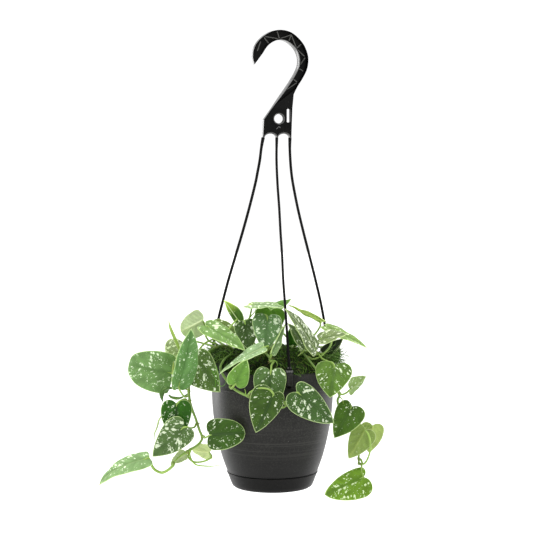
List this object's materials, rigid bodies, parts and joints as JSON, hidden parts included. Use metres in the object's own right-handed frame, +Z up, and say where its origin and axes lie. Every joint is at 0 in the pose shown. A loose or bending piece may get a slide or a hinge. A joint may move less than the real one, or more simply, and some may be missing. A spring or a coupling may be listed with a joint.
{
  "type": "satin pothos in a hanging pot",
  "caption": "Trailing aroid with silver-blotched heart leaves, growing from moss in a round plastic hanging pot with a clipped saucer and a moulded hook on stiff legs.",
  "frame": {"origin": "seat of the hanging hook, the point that a ceiling hook or a rail carries", "axes": "+Z up along the pot's axis; front towards -Y; +X to the viewer's right"},
  "size_m": [0.348, 0.2097, 0.5732],
  "materials": {
    "charcoal_plastic": "satin, faint horizontal rings",
    "black_plastic": "moulded, soft sheen",
    "potting_soil": "rough, damp peat mix",
    "moss": "matted green strands",
    "satin_leaf": "satin green with silver blotches",
    "green_stem": "smooth green"
  },
  "bodies": {
    "root": {"pot": "charcoal_plastic", "saucer": "charcoal_plastic", "potting_soil": "potting_soil", "moss_cover": "moss", "hanger_hook": "black_plastic", "hanger_strand_front": "black_plastic", "hanger_strand_left": "black_plastic", "hanger_strand_right": "black_plastic", "vine_left": "green_stem", "vine_front": "green_stem", "vine_right": "green_stem", "vine_crown_left": "green_stem", "vine_crown_mid": "green_stem", "vine_crown_right": "green_stem", "vine_back": "green_stem", "leaf_a": "satin_leaf", "leaf_b": "satin_leaf", "leaf_c": "satin_leaf", "leaf_e": "satin_leaf", "leaf_f": "satin_leaf", "leaf_g": "satin_leaf", "leaf_h": "satin_leaf", "leaf_i": "satin_leaf", "leaf_j": "satin_leaf", "leaf_k": "satin_leaf", "leaf_m": "satin_leaf", "leaf_n": "satin_leaf", "leaf_o": "satin_leaf", "leaf_p": "satin_leaf", "leaf_q": "satin_leaf", "leaf_r": "satin_leaf", "leaf_s": "satin_leaf", "leaf_t": "satin_leaf", "leaf_u": "satin_leaf", "leaf_v": "satin_leaf", "leaf_w": "satin_leaf", "leaf_x": "satin_leaf", "leaf_y": "satin_leaf", "leaf_z": "satin_leaf", "leaf_b2": "satin_leaf", "leaf_a2": "satin_leaf", "leaf_c2": "satin_leaf", "leaf_d2": "satin_leaf", "leaf_e2": "satin_leaf", "leaf_f2": "satin_leaf", "leaf_g2": "satin_leaf", "leaf_h2": "satin_leaf", "leaf_i2": "satin_leaf", "leaf_j2": "satin_leaf", "leaf_k2": "satin_leaf", "leaf_l2": "satin_leaf", "leaf_m2": "satin_leaf", "leaf_o2": "satin_leaf", "leaf_p2": "satin_leaf", "leaf_back_1": "satin_leaf", "leaf_back_2": "satin_leaf", "leaf_back_3": "satin_leaf", "leaf_back_4": "satin_leaf", "leaf_back_5": "satin_leaf", "leaf_d": "satin_leaf"}
  },
  "joints": []
}
